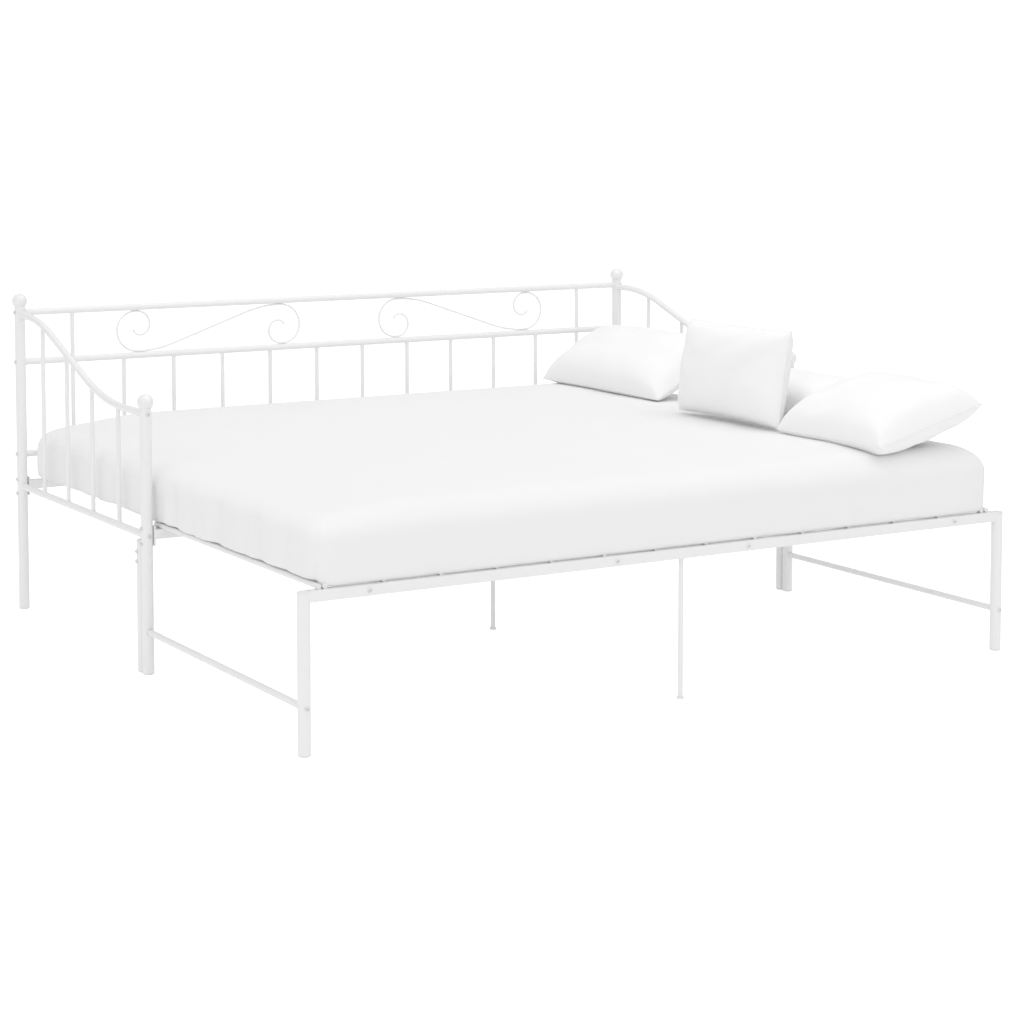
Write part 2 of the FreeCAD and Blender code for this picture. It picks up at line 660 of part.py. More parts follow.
above_arms = space_above_arms()
end_spindles = []
end_total = int(number("sizes.end_spindles"))
for side_name, side in SIDES:
    x = f"{side} * {SIDE_X}"
    posts = [back_outer[side], front_outer[side]]
    path = arm_path(side)
    start = path.edges[0].Vertexes[0].Point
    name = f"end_arm_{side_name}"
    arm_outer = swept(f"{name}_outer", path.edges, RAIL_R, start, Vector(0, -1, 0))
    arm_bore = swept(f"{name}_bore", path.edges, RAIL_BORE, start, Vector(0, -1, 0))
    node(cut(f"{name}_fitted", cut(f"{name}_tube", arm_outer, [arm_bore]), posts), name)

    name = f"end_rail_{side_name}"
    blank, end_outer = tube(
        name, RAIL_R, "sizes.rail_wall", "sizes.daybed_depth", x, FRONT_Y, END_RAIL, ALONG_Y
    )
    node(cut(f"{name}_fitted", blank, posts), name)

    for index in range(1, end_total + 1):
        y = f"{BACK_Y} - sizes.daybed_depth * {index} / (sizes.end_spindles + 1)"
        name = f"end_spindle_{side_name}_{index}"
        spindle = make_spindle(name, x, y, END_RAIL, "sizes.back_height", [end_outer])
        spindle = cut(f"{name}_low", spindle, [above_arms])
        spindle = cut(f"{name}_end", spindle, [arm_outer])
        end_spindles.append(spindle)
node(group("end_spindles", end_spindles), "end_panel_spindles")


# ---------------------------------------------------------------- daybed slat rails, slats and centre legs
def square_rail(name, y, top, plate_bottom, plate_top, bolts):
    """Square tube between two posts, with a drilled end plate welded on each end."""
    reach = f"(2 * ({INNER_X} - sizes.plate_thickness))"
    low = f"{top} - {BEAM}"
    outer = box(f"{name}_outer", reach, BEAM, BEAM, "0", y, low)
    inner = f"({BEAM} - 2 * sizes.beam_wall)"
    bore = box(f"{name}_bore", reach, inner, inner, "0", y, f"{low} + sizes.beam_wall")
    pieces = [cut(f"{name}_tube", outer, [bore])]
    holes = []
    for side_name, side in SIDES:
        middle = f"{side} * ({INNER_X} - sizes.plate_thickness / 2)"
        height = f"({plate_top} - ({plate_bottom}))"
        plate_name = f"{name}_plate_{side_name}"
        pieces.append(box(plate_name, "sizes.plate_thickness", BEAM, height, middle, y, plate_bottom))
        for index, z in enumerate(bolts):
            start = f"{middle} - {BEAM} / 2"
            hole = f"{plate_name}_hole_{index}"
            holes.append(cylinder(hole, THREAD_R, BEAM, start, y, z, ALONG_X))
    return pieces, holes


def welded(name, pieces, holes):
    """Pieces welded into one, with their holes drilled."""
    return cut(f"{name}_drilled", fuse(f"{name}_welded", pieces), holes)


plate_half = "sizes.plate_height / 2"
for row_name, y in (("front", FRONT_Y), ("back", BACK_Y)):
    name = f"slat_rail_{row_name}"
    pieces, holes = square_rail(
        name, y, "sizes.deck_height",
        f"{PLATE_MIDDLE} - {plate_half}", f"{PLATE_MIDDLE} + {plate_half}", PLATE_BOLTS,
    )
    node(welded(name, pieces, holes), name)


def slat(name, x, front, back, deck):
    """Round slat with closed ends, from front to back, lying on its rails."""
    z = f"{deck} + {SLAT_R}"
    length = f"(({back}) - ({front}))"
    outer = cylinder(f"{name}_outer", SLAT_R, length, x, front, z, ALONG_Y)
    bore_r = f"{SLAT_R} - sizes.slat_wall"
    bore_length = f"{length} - 2 * sizes.slat_end_wall"
    bore_front = f"{front} + sizes.slat_end_wall"
    bore = cylinder(f"{name}_bore", bore_r, bore_length, x, bore_front, z, ALONG_Y)
    return cut(f"{name}_tube", outer, [bore])


slat_total = int(number("sizes.pull_out_slats"))
slat_pitch = f"(2 * {SLAT_EDGE} / (sizes.pull_out_slats - 1))"
pull_out_places = [f"{index} * {slat_pitch} - {SLAT_EDGE}" for index in range(slat_total)]
daybed_places = [f"{place_x} + {slat_pitch} / 2" for place_x in pull_out_places[:-1]]
slats = []
for index, x in enumerate(daybed_places, start=1):
    front = f"{FRONT_Y} + {BEAM} / 2 - sizes.slat_rest"
    back = f"{BACK_Y} - {BEAM} / 2 + sizes.slat_rest"
    slats.append(slat(f"daybed_slat_{index:02d}", x, front, back, "sizes.deck_height"))
node(group("daybed_slat_set", slats), "daybed_slats")


def centre_leg(name, y, rail_bottom):
    """Thin leg under the middle of a slat rail."""
    foot_r = "sizes.centre_leg_foot / 2"
    leg_r = "sizes.centre_leg_diameter / 2"
    stem = cylinder(f"{name}_stem", leg_r, rail_bottom, "0", y, "0")
    foot = cylinder(f"{name}_foot", foot_r, "sizes.cap_height", "0", y, "0")
    flange = "sizes.centre_leg_flange"
    top = cylinder(f"{name}_top", foot_r, flange, "0", y, f"{rail_bottom} - {flange}")
    return fuse(name, [stem, foot, top])


deck_bottom = f"(sizes.deck_height - {BEAM})"
centre_legs = [
    centre_leg("centre_leg_front", FRONT_Y, deck_bottom),
    centre_leg("centre_leg_back", BACK_Y, deck_bottom),
]
node(group("daybed_centre_leg_pair", centre_legs), "daybed_centre_legs")


# ---------------------------------------------------------------- pull-out frame
legs = {}
leg_rows = [("front", LEG_Y, PULL_OUT_DECK, []), ("rear", REAR_LEG_Y, REAR_LEG_TOP, REAR_BOLTS)]
pull_out_caps = []
for row_name, y, top, across in leg_rows:
    for side_name, side in SIDES:
        name = f"pull_out_{row_name}_leg_{side_name}"
        tube_top = f"({top} - sizes.cap_height)"
        legs[row_name, side] = make_post(
            name, side, y, tube_top, across, ["sizes.stretcher_height"]
        )
        x = f"{side} * {SIDE_X}"
        pull_out_caps.append(copy_to(f"{name}_foot_cap", end_cap, x, y, "0"))
        pull_out_caps.append(copy_to(f"{name}_top_cap", end_cap, x, y, top, UPSIDE_DOWN))
node(group("pull_out_caps", pull_out_caps), "pull_out_end_caps")

front_rail_reach = "sizes.post_spacing"
front_low = f"{PULL_OUT_DECK} - {BEAM}"
inner_beam = f"({BEAM} - 2 * sizes.beam_wall)"
front_blank = box("front_rail_outer", front_rail_reach, BEAM, BEAM, "0", LEG_Y, front_low)
front_bore = box(
    "front_rail_bore", front_rail_reach, inner_beam, inner_beam, "0", LEG_Y,
    f"{front_low} + sizes.beam_wall",
)
bar_bolt_places = []
for side_name, side in SIDES:
    for edge in ("sizes.bar_bolt_inner", f"({INNER_X} - sizes.bar_bolt_inset)"):
        bar_bolt_places.append(f"{side} * {edge}")
bar_bolt_z = f"{PULL_OUT_DECK} - {BEAM} / 2"
bar_holes = []
for index, x in enumerate(bar_bolt_places):
    start = f"{LEG_Y} - {BEAM}"
    bar_holes.append(
        cylinder(f"bar_hole_{index}", BOLT_HOLE_R, f"2 * {BEAM}", x, start, bar_bolt_z, ALONG_Y)
    )
leg_forms = []
for side_name, side in SIDES:
    form = f"front_leg_form_{side_name}"
    leg_forms.append(cylinder(form, POST_R, PULL_OUT_DECK, f"{side} * {SIDE_X}", LEG_Y, "0"))
front_tube = cut("front_rail_tube", front_blank, [front_bore])
front_rail = cut("front_rail_fitted", front_tube, leg_forms)
node(cut("front_rail_drilled", front_rail, bar_holes), "pull_out_front_rail")

rear_bottom = f"({REAR_LOWER_BOLT} - sizes.rear_plate_margin)"
pieces, holes = square_rail(
    "rear_rail", REAR_LEG_Y, REAR_RAIL_TOP, rear_bottom, REAR_RAIL_TOP, REAR_BOLTS
)
side_places = [f"{side} * {SIDE_RAIL_X}" for _, side in SIDES]
for index, x in enumerate(pull_out_places + side_places):
    spacer = f"slat_spacer_{index:02d}"
    rise = "2 * sizes.deck_lift"
    pieces.append(box(spacer, SLAT_R, BEAM, rise, f"({x})", REAR_LEG_Y, REAR_RAIL_TOP))
node(welded("rear_rail", pieces, holes), "pull_out_rear_rail")

stretcher_span = f"({REAR_LEG_Y} - {LEG_Y})"
for side_name, side in SIDES:
    name = f"stretcher_{side_name}"
    blank, _ = tube(
        name, STRETCHER_R, "sizes.rail_wall", stretcher_span,
        f"{side} * {SIDE_X}", LEG_Y, "sizes.stretcher_height", ALONG_Y,
    )
    node(cut(f"{name}_fitted", blank, [legs["front", side], legs["rear", side]]), name)

slat_front = f"{LEG_Y} + {BEAM} / 2 - sizes.slat_rest"
slat_back = f"{REAR_LEG_Y} - {BEAM} / 2 + sizes.slat_rest"
slats = []
for index, x in enumerate(pull_out_places, start=1):
    slats.append(slat(f"pull_out_slat_{index:02d}", x, slat_front, slat_back, PULL_OUT_DECK))
node(group("pull_out_slat_set", slats), "pull_out_slats")
side_rails = []
for index, x in enumerate(side_places):
    side_rails.append(slat(f"side_rail_{index}", x, slat_front, slat_back, PULL_OUT_DECK))
node(group("side_rail_pair", side_rails), "pull_out_side_rails")

bar_y = f"({LEG_Y} + {BEAM} / 2 + sizes.slat_bar_thickness / 2)"
bar_low = f"{PULL_OUT_DECK} - sizes.slat_bar_height"
slat_bar = box(
    "slat_bar", f"2 * {SIDE_RAIL_X}", "sizes.slat_bar_thickness", "sizes.slat_bar_height",
    "0", bar_y, bar_low,
)
thread_holes = []
for index, x in enumerate(bar_bolt_places):
    start = f"{LEG_Y} - {BEAM}"
    thread_holes.append(
        cylinder(f"bar_thread_{index}", THREAD_R, f"2 * {BEAM}", x, start, bar_bolt_z, ALONG_Y)
    )
node(cut("slat_bar_drilled", slat_bar, thread_holes), "pull_out_slat_bar")
node(centre_leg("pull_out_centre_stem", LEG_Y, f"({PULL_OUT_DECK} - {BEAM})"), "pull_out_centre_leg")


# ---------------------------------------------------------------- bolts and threaded inserts
tube_bolts = []
plate_bolts = []
rail_inserts = []
for side_name, side in SIDES:
    outward = TOWARDS_LEFT if side == LEFT else ALONG_X
    inward = ALONG_X if side == LEFT else TOWARDS_LEFT
    x = f"{side} * {SIDE_X}"
    seat_x = f"{side} * ({SIDE_X} + {POST_R})"
    insert_x = f"{side} * ({SIDE_X} - {INSERT_REACH})"
    for rail_name, height in RAIL_HEIGHTS:
        name = f"{rail_name}_rail_{side_name}"
        tube_bolts.append(copy_to(f"{name}_bolt", tube_bolt, seat_x, BACK_Y, height, outward))
        rail_inserts.append(copy_to(f"{name}_insert", rail_insert, insert_x, BACK_Y, height, inward))
    for index, z in enumerate(PLATE_BOLTS):
        for row_name, y in (("back", BACK_Y), ("front", FRONT_Y)):
            name = f"plate_bolt_{row_name}_{side_name}_{index}"
            plate_bolts.append(copy_to(name, plate_bolt, seat_x, y, z, outward))
    for bar_name, back_z, front_z in (
        ("arm", ARM_TOP, ARM_LOW),
        ("end_rail", END_RAIL, END_RAIL),
    ):
        name = f"{bar_name}_{side_name}"
        back_seat = f"{BACK_Y} + {POST_R}"
        front_seat = f"{FRONT_Y} - {POST_R}"
        back_insert = f"{BACK_Y} - {INSERT_REACH}"
        front_insert = f"{FRONT_Y} + {INSERT_REACH}"
        tube_bolts.append(copy_to(f"{name}_back_bolt", tube_bolt, x, back_seat, back_z, ALONG_Y))
        tube_bolts.append(
            copy_to(f"{name}_front_bolt", tube_bolt, x, front_seat, front_z, TOWARDS_FRONT)
        )
        rail_inserts.append(
            copy_to(f"{name}_back_insert", rail_insert, x, back_insert, back_z, TOWARDS_FRONT)
        )
        rail_inserts.append(
            copy_to(f"{name}_front_insert", rail_insert, x, front_insert, front_z, ALONG_Y)
        )
node(group("tube_bolt_set", tube_bolts), "tube_bolts")
node(group("plate_bolt_set", plate_bolts), "plate_bolts")
node(group("rail_insert_set", rail_inserts), "rail_inserts")

stretcher_bolts = []
stretcher_inserts = []
rear_rail_bolts = []
for side_name, side in SIDES:
    outward = TOWARDS_LEFT if side == LEFT else ALONG_X
    x = f"{side} * {SIDE_X}"
    z = "sizes.stretcher_height"
    front_seat = f"{LEG_Y} - {POST_R}"
    rear_seat = f"{REAR_LEG_Y} + {POST_R}"
    stretcher_bolts.append(
        copy_to(f"stretcher_front_bolt_{side_name}", tube_bolt, x, front_seat, z, TOWARDS_FRONT)
    )
    stretcher_bolts.append(
        copy_to(f"stretcher_rear_bolt_{side_name}", tube_bolt, x, rear_seat, z, ALONG_Y)
    )
    front_insert = f"{LEG_Y} + {INSERT_REACH}"
    rear_insert = f"{REAR_LEG_Y} - {INSERT_REACH}"
    name = f"stretcher_insert_{side_name}"
    stretcher_inserts.append(copy_to(f"{name}_front", stretcher_insert, x, front_insert, z, ALONG_Y))
    stretcher_inserts.append(
        copy_to(f"{name}_rear", stretcher_insert, x, rear_insert, z, TOWARDS_FRONT)
    )
    for index, height in enumerate(REAR_BOLTS):
        seat_x = f"{side} * ({SIDE_X} + {POST_R})"
        name = f"rear_rail_bolt_{side_name}_{index}"
        rear_rail_bolts.append(copy_to(name, plate_bolt, seat_x, REAR_LEG_Y, height, outward))
node(group("pull_out_bolt_set", stretcher_bolts + rear_rail_bolts), "pull_out_bolts")
node(group("stretcher_insert_set", stretcher_inserts), "stretcher_inserts")
bar_bolts = []
for index, x in enumerate(bar_bolt_places):
    seat = f"{LEG_Y} - {BEAM} / 2"
    bar_bolts.append(copy_to(f"slat_bar_bolt_{index}", bar_bolt, x, seat, bar_bolt_z, TOWARDS_FRONT))
node(group("slat_bar_bolt_set", bar_bolts), "slat_bar_bolts")


# ---------------------------------------------------------------- mattress and pillows
mattress = cushion(
    "mattress_block", f"2 * {MATTRESS_RIGHT}", f"{MATTRESS_BACK} - {MATTRESS_FRONT}",
    "sizes.mattress_thickness", "sizes.mattress_round",
)
place(mattress, "0", f"({MATTRESS_BACK} + {MATTRESS_FRONT}) / 2", MATTRESS_BOTTOM)
node(mattress, "mattress")

front_start = f"({MATTRESS_FRONT} + sizes.pillow_front_margin)"
middle_start = f"({front_start} + sizes.pillow_front_length + sizes.pillow_gap)"
pillow_starts = {
    "pillow_back": f"({MATTRESS_BACK} - sizes.pillow_back_margin - sizes.pillow_back_length)",
    "pillow_upright": middle_start,
    "pillow_flat": middle_start,
    "pillow_front": front_start,
}
for name, start in pillow_starts.items():
    length, width, thickness, tilt, inset = [f"sizes.{name}_{size}" for size in PILLOW_SIZES]
    pillow = cushion(f"{name}_block", width, length, thickness, "sizes.pillow_round")
    # the lowest edge of the tilted block rests just above the mattress
    rise = f"{width} / 2 * sin({tilt} * 1 deg)"
    turn = Rotation(Vector(0, -1, 0), number(tilt))
    low = f"{MATTRESS_TOP} + sizes.mattress_gap + {rise}"
    place(pillow, f"{MATTRESS_RIGHT} - {inset}", f"{start} + {length} / 2", low, turn)
    if number(tilt):
        pillow.setExpression("Placement.Rotation.Angle", tilt)
    node(pillow, name)

# ---------------------------------------------------------------- check and export
doc.recompute()
for item in doc.Objects:
    if "Invalid" in item.State or "Error" in item.State:
        raise RuntimeError(f"{item.Label} failed: {item.State}")
for item in nodes:
    if item.Shape.isNull() or not item.Shape.isValid() or item.Shape.Volume <= 0:
        raise RuntimeError(f"{item.Label} has no valid shape")
os.makedirs("parts", exist_ok=True)
for item in nodes:
    item.Shape.exportStep(f"parts/{item.Label}.step")
print(len(nodes), "pieces written")
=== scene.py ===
"""Looks of a white metal daybed with its pull-out half drawn out, a mattress and four pillows."""

import json
import logging
import math
from dataclasses import dataclass, field
from enum import Enum

import bpy
import numpy as np
from mathutils import Matrix, Vector, noise
from mathutils.bvhtree import BVHTree


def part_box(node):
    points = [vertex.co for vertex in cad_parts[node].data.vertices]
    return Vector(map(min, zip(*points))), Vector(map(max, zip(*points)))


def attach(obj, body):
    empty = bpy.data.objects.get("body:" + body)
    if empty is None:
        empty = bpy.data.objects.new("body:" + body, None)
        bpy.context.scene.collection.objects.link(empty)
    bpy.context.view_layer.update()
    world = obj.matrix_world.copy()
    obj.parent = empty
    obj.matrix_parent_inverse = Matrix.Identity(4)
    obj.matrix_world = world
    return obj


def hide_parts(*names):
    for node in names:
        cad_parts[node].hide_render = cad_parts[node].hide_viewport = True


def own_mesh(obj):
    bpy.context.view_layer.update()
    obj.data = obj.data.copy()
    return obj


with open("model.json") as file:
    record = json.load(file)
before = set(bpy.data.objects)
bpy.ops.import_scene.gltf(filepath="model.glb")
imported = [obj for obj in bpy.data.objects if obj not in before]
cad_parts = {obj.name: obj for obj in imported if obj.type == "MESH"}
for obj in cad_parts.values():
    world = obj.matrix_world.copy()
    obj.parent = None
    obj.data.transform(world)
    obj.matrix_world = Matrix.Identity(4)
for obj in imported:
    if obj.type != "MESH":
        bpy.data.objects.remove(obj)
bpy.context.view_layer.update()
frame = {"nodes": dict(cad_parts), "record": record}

LOG = logging.getLogger("daybed")
DAYBED = "daybed_frame"
MILLIMETRE = 0.001


# ---------------------------------------------------------------- shader building
class Graph:
    """Short way to add and join shader nodes in one tree."""

    def __init__(self, tree: bpy.types.NodeTree) -> None:
        """Keep the tree and empty it.

        Args:
            tree: Node tree of a material, world or group.
        """
        self.tree = tree
        tree.nodes.clear()

    def add(self, kind: str, settings: dict | None = None, **values: object) -> bpy.types.Node:
        """Add a node.

        Args:
            kind: Blender's name of the node type.
            settings: Node properties by name.
            **values: Input values by socket name, with spaces as underscores.

        Returns:
            The new node.
        """
        node = self.tree.nodes.new(kind)
        for name, value in (settings or {}).items():
            setattr(node, name, value)
        for name, value in values.items():
            node.inputs[name.replace("_", " ")].default_value = value
        return node

    def join(self, source: bpy.types.Node, out: str | int, target: bpy.types.Node, into: str | int) -> None:
        """Link an output to an input.

        Args:
            source: Node that gives.
            out: Name or number of its output.
            target: Node that takes.
            into: Name or number of its input.
        """
        self.tree.links.new(source.outputs[out], target.inputs[into])

    def maths(self, operation: str, first: tuple, second: tuple | float) -> bpy.types.Node:
        """Add a maths node fed by other nodes.

        Args:
            operation: Blender's name of the operation.
            first: Node and output name of the first operand.
            second: Node and output name, or a plain number.

        Returns:
            The maths node.
        """
        node = self.add("ShaderNodeMath", {"operation": operation})
        self.join(*first, node, 0)
        if isinstance(second, tuple):
            self.join(*second, node, 1)
        else:
            node.inputs[1].default_value = second
        return node


class Effect(Enum):
    """Shader node groups that several materials share."""

    GRAIN = "fine_grain"
    WEAVE = "plain_weave"
    CLOUD = "tone_cloud"

    def group(self) -> bpy.types.NodeTree:
        """Node group of this effect, built on first use."""
        known = bpy.data.node_groups.get(self.value)
        if known:
            return known
        tree = bpy.data.node_groups.new(self.value, "ShaderNodeTree")
        graph = Graph(tree)
        for name, start in EFFECT_INPUTS[self].items():
            socket = tree.interface.new_socket(name, in_out="INPUT", socket_type="NodeSocketFloat")
            socket.default_value = start
        for name in EFFECT_OUTPUTS[self]:
            tree.interface.new_socket(name, in_out="OUTPUT", socket_type="NodeSocketFloat")
        gate = graph.add("NodeGroupInput")
        out = graph.add("NodeGroupOutput")
        place = graph.add("ShaderNodeTexCoord")
        {Effect.GRAIN: build_grain, Effect.WEAVE: build_weave, Effect.CLOUD: build_cloud}[self](
            graph, gate, out, place
        )
        return tree


EFFECT_INPUTS = {
    Effect.GRAIN: {"Cells per metre": 900.0, "Stretch": 1.0},
    Effect.WEAVE: {"Threads per metre": 900.0, "Slub": 0.35},
    Effect.CLOUD: {"Patches per metre": 3.0, "Depth": 0.04},
}
EFFECT_OUTPUTS = {
    Effect.GRAIN: ["Height", "Mask"],
    Effect.WEAVE: ["Height", "Mask"],
    Effect.CLOUD: ["Tone"],
}


def build_grain(graph: Graph, gate: bpy.types.Node, out: bpy.types.Node, place: bpy.types.Node) -> None:
    """Fine uneven skin of a powder coat, moulded plastic or rolled steel.

    Args:
        graph: Graph of the group.
        gate: Group input node.
        out: Group output node.
        place: Texture coordinates.
    """
    spread = graph.add("ShaderNodeCombineXYZ", X=1.0, Y=1.0)
    graph.join(gate, "Stretch", spread, "Z")
    scaled = graph.add("ShaderNodeVectorMath", {"operation": "MULTIPLY"})
    graph.join(place, "Object", scaled, 0)
    graph.join(spread, 0, scaled, 1)
    fine = graph.add("ShaderNodeTexNoise", Detail=3.0, Roughness=0.55)
    broad = graph.add("ShaderNodeTexNoise", Detail=2.0, Roughness=0.5)
    for texture in (fine, broad):
        graph.join(scaled, 0, texture, "Vector")
    graph.join(gate, "Cells per metre", fine, "Scale")
    slow = graph.maths("MULTIPLY", (gate, "Cells per metre"), 0.04)
    graph.join(slow, 0, broad, "Scale")
    graph.join(fine, 0, out, "Height")
    graph.join(broad, 0, out, "Mask")


def build_weave(graph: Graph, gate: bpy.types.Node, out: bpy.types.Node, place: bpy.types.Node) -> None:
    """Plain over-and-under weave with uneven threads, whatever way the cloth faces.

    Args:
        graph: Graph of the group.
        gate: Group input node.
        out: Group output node.
        place: Texture coordinates.
    """
    pitch = graph.maths("MULTIPLY", (gate, "Threads per metre"), math.pi)
    wander = graph.add("ShaderNodeTexNoise", Scale=60.0, Detail=2.0)
    graph.join(place, "Object", wander, "Vector")
    drift = graph.maths("MULTIPLY", (wander, 0), (gate, "Slub"))
    split = graph.add("ShaderNodeSeparateXYZ")
    graph.join(place, "Object", split, 0)
    waves = []
    for axis in "XYZ":
        along = graph.maths("MULTIPLY", (split, axis), (pitch, 0))
        moved = graph.maths("ADD", (along, 0), (drift, 0))
        waves.append(graph.maths("SINE", (moved, 0), 0.0))
    crossing = graph.maths("MULTIPLY", (waves[0], 0), (waves[1], 0))
    upright = graph.maths("ADD", (waves[0], 0), (waves[1], 0))
    side = graph.maths("MULTIPLY", (upright, 0), (waves[2], 0))
    facing = graph.add("ShaderNodeNewGeometry")
    parts = graph.add("ShaderNodeSeparateXYZ")
    graph.join(facing, "Normal", parts, 0)
    level = graph.maths("ABSOLUTE", (parts, "Z"), 0.0)
    mixed = graph.add("ShaderNodeMix")
    graph.join(level, 0, mixed, "Factor")
    graph.join(side, 0, mixed, "A")
    graph.join(crossing, 0, mixed, "B")
    height = graph.add("ShaderNodeMapRange", From_Min=-1.0, From_Max=1.0)
    graph.join(mixed, "Result", height, "Value")
    graph.join(height, "Result", out, "Height")
    graph.join(wander, 0, out, "Mask")


def build_cloud(graph: Graph, gate: bpy.types.Node, out: bpy.types.Node, place: bpy.types.Node) -> None:
    """Slow change of tone over a surface, about one.

    Args:
        graph: Graph of the group.
        gate: Group input node.
        out: Group output node.
        place: Texture coordinates.
    """
    cloud = graph.add("ShaderNodeTexNoise", Detail=4.0, Roughness=0.5)
    graph.join(place, "Object", cloud, "Vector")
    graph.join(gate, "Patches per metre", cloud, "Scale")
    centred = graph.maths("SUBTRACT", (cloud, 0), 0.5)
    deep = graph.maths("MULTIPLY", (centred, 0), (gate, "Depth"))
    tone = graph.maths("ADD", (deep, 0), 1.0)
    graph.join(tone, 0, out, "Tone")


@dataclass(frozen=True)
class Finish:
    """One surface finish of the bed, and the recipe of its material."""

    name: str
    colour: tuple[float, float, float]
    roughness: float
    effect: Effect
    effect_values: dict = field(default_factory=dict)
    relief: float = 0.0
    patches: float = 3.0
    tone_depth: float = 0.03
    polish_change: float = 0.08
    metallic: float = 0.0
    coat: float = 0.0
    coat_roughness: float = 0.1
    sheen: float = 0.0

    def material(self) -> bpy.types.Material:
        """Material of this finish, made on first use.

        Returns:
            The material.
        """
        known = bpy.data.materials.get(self.name)
        if known:
            return known
        material = bpy.data.materials.new(self.name)
        material.use_nodes = True
        graph = Graph(material.node_tree)
        out = graph.add("ShaderNodeOutputMaterial")
        shader = graph.add(
            "ShaderNodeBsdfPrincipled",
            Metallic=self.metallic,
            Coat_Weight=self.coat,
            Coat_Roughness=self.coat_roughness,
            Sheen_Weight=self.sheen,
            Sheen_Roughness=0.6,
        )
        graph.join(shader, 0, out, "Surface")

        skin = graph.add("ShaderNodeGroup", {"node_tree": self.effect.group()})
        for name, value in self.effect_values.items():
            skin.inputs[name].default_value = value
        cloud = graph.add("ShaderNodeGroup", {"node_tree": Effect.CLOUD.group()})
        cloud.inputs["Patches per metre"].default_value = self.patches
        cloud.inputs["Depth"].default_value = self.tone_depth

        paint = graph.add("ShaderNodeVectorMath", {"operation": "SCALE"})
        paint.inputs[0].default_value = self.colour
        graph.join(cloud, "Tone", paint, "Scale")
        graph.join(paint, 0, shader, "Base Color")

        polish = graph.add("ShaderNodeMapRange")
        polish.inputs["To Min"].default_value = self.roughness - self.polish_change
        polish.inputs["To Max"].default_value = self.roughness + self.polish_change
        graph.join(skin, "Mask", polish, "Value")
        graph.join(polish, "Result", shader, "Roughness")

        bump = graph.add("ShaderNodeBump", Strength=1.0, Distance=self.relief)
        graph.join(skin, "Height", bump, "Height")
        graph.join(bump, 0, shader, "Normal")
        return material


POWDER_COAT = Finish(
    "white_powder_coat", (0.85, 0.85, 0.855), 0.38, Effect.GRAIN,
    {"Cells per metre": 1400.0}, relief=0.00003, coat=0.25, coat_roughness=0.2,
)
GLOSS_BALL = Finish(
    "gloss_white_ball", (0.84, 0.84, 0.84), 0.16, Effect.GRAIN,
    {"Cells per metre": 700.0}, relief=0.00001, polish_change=0.03, coat=0.8, coat_roughness=0.05,
)
CAP_PLASTIC = Finish(
    "satin_white_cap", (0.78, 0.78, 0.775), 0.5, Effect.GRAIN,
    {"Cells per metre": 1100.0}, relief=0.00004,
)
BOLT_STEEL = Finish(
    "zinc_bolt_steel", (0.74, 0.74, 0.75), 0.42, Effect.GRAIN,
    {"Cells per metre": 2500.0, "Stretch": 0.2}, relief=0.00002, metallic=0.55, tone_depth=0.12,
)
INSERT_STEEL = Finish(
    "plain_insert_steel", (0.42, 0.42, 0.43), 0.45, Effect.GRAIN,
    {"Cells per metre": 2000.0, "Stretch": 0.3}, relief=0.00002, metallic=1.0, tone_depth=0.2,
)
MATTRESS_COTTON = Finish(
    "mattress_cotton", (0.868, 0.868, 0.868), 0.88, Effect.WEAVE,
    {"Threads per metre": 800.0, "Slub": 2.2}, relief=0.00012, tone_depth=0.025, sheen=0.08,
)
PILLOW_COTTON = Finish(
    "pillow_cotton", (0.92, 0.92, 0.92), 0.86, Effect.WEAVE,
    {"Threads per metre": 1100.0, "Slub": 2.0}, relief=0.00009, tone_depth=0.02, sheen=0.1,
)
SEAM_THREAD = Finish(
    "seam_thread", (0.88, 0.88, 0.88), 0.8, Effect.WEAVE,
    {"Threads per metre": 1500.0, "Slub": 1.0}, relief=0.0001,
)


